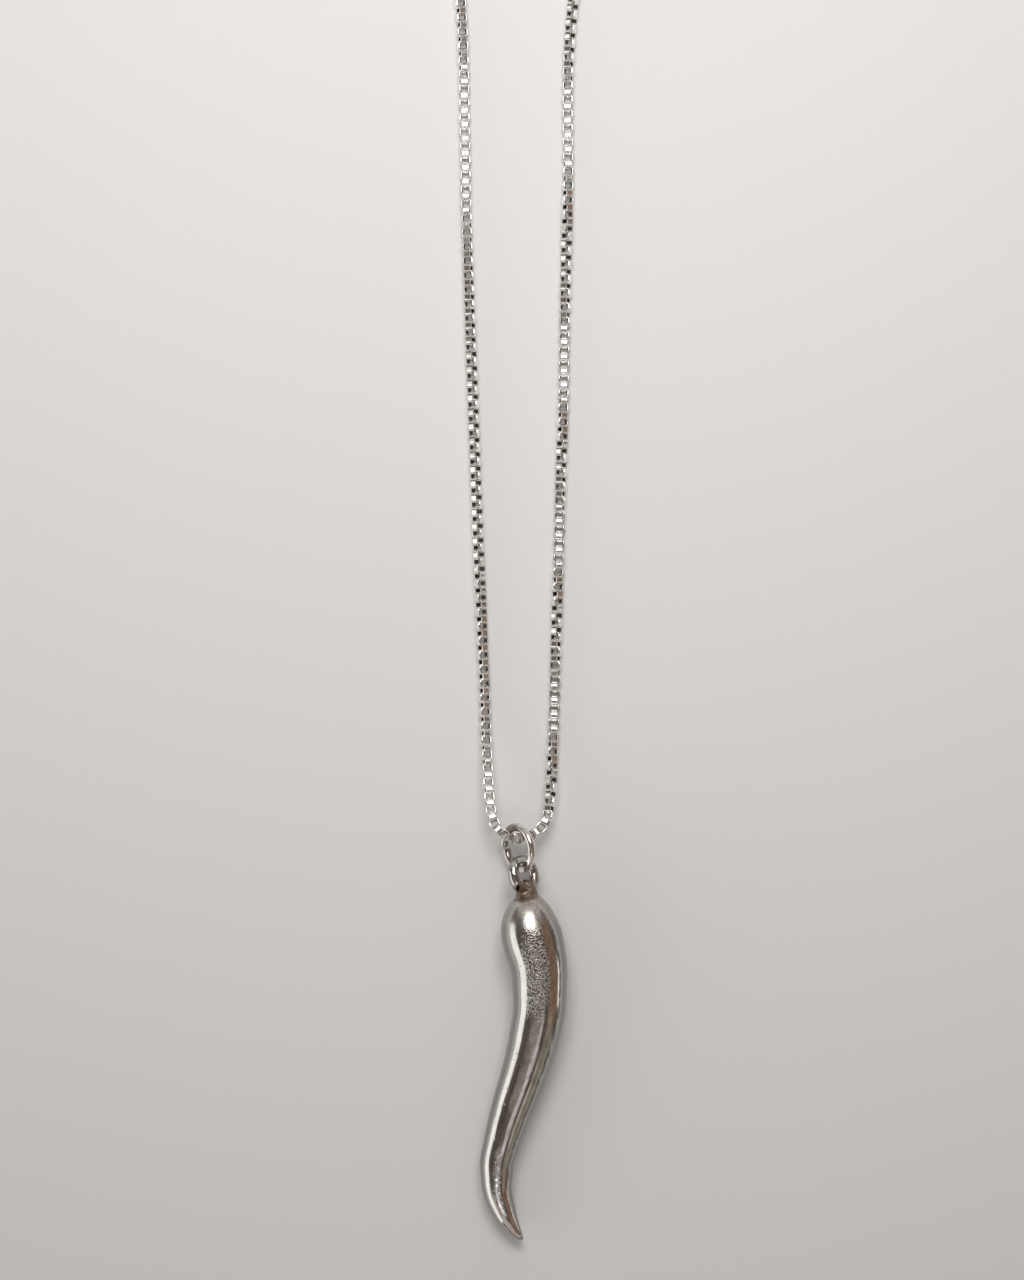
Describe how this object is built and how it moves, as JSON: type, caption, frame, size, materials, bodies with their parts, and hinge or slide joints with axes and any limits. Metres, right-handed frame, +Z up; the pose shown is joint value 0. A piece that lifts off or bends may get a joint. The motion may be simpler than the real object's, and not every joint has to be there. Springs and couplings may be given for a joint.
{
  "type": "cornicello horn pendant on a box chain",
  "caption": "S-curved cast silver horn charm with a soldered eye and an open jump ring on a fine box-chain necklace, lying flat.",
  "frame": {"origin": "middle of the necklace's box in X and Y, on the surface that it lies on", "axes": "+Y from the horn's tip up the two strands to the clasp, +X across the strands, to the right as seen from above, +Z up"},
  "size_m": [0.0684, 0.2723, 0.0076],
  "materials": {
    "horn": "cast sterling silver, polished and worn, with fine casting pits and brownish tarnish",
    "jump_ring": "polished silver wire, slightly tarnished",
    "chain": "bright silver box chain with dark insides",
    "clasp": "polished silver"
  },
  "bodies": {
    "root": {"horn": "horn", "jump_ring": "jump_ring", "chain": "chain", "clasp": "clasp", "end_ring_left": "clasp", "end_ring_right": "clasp"}
  },
  "joints": []
}
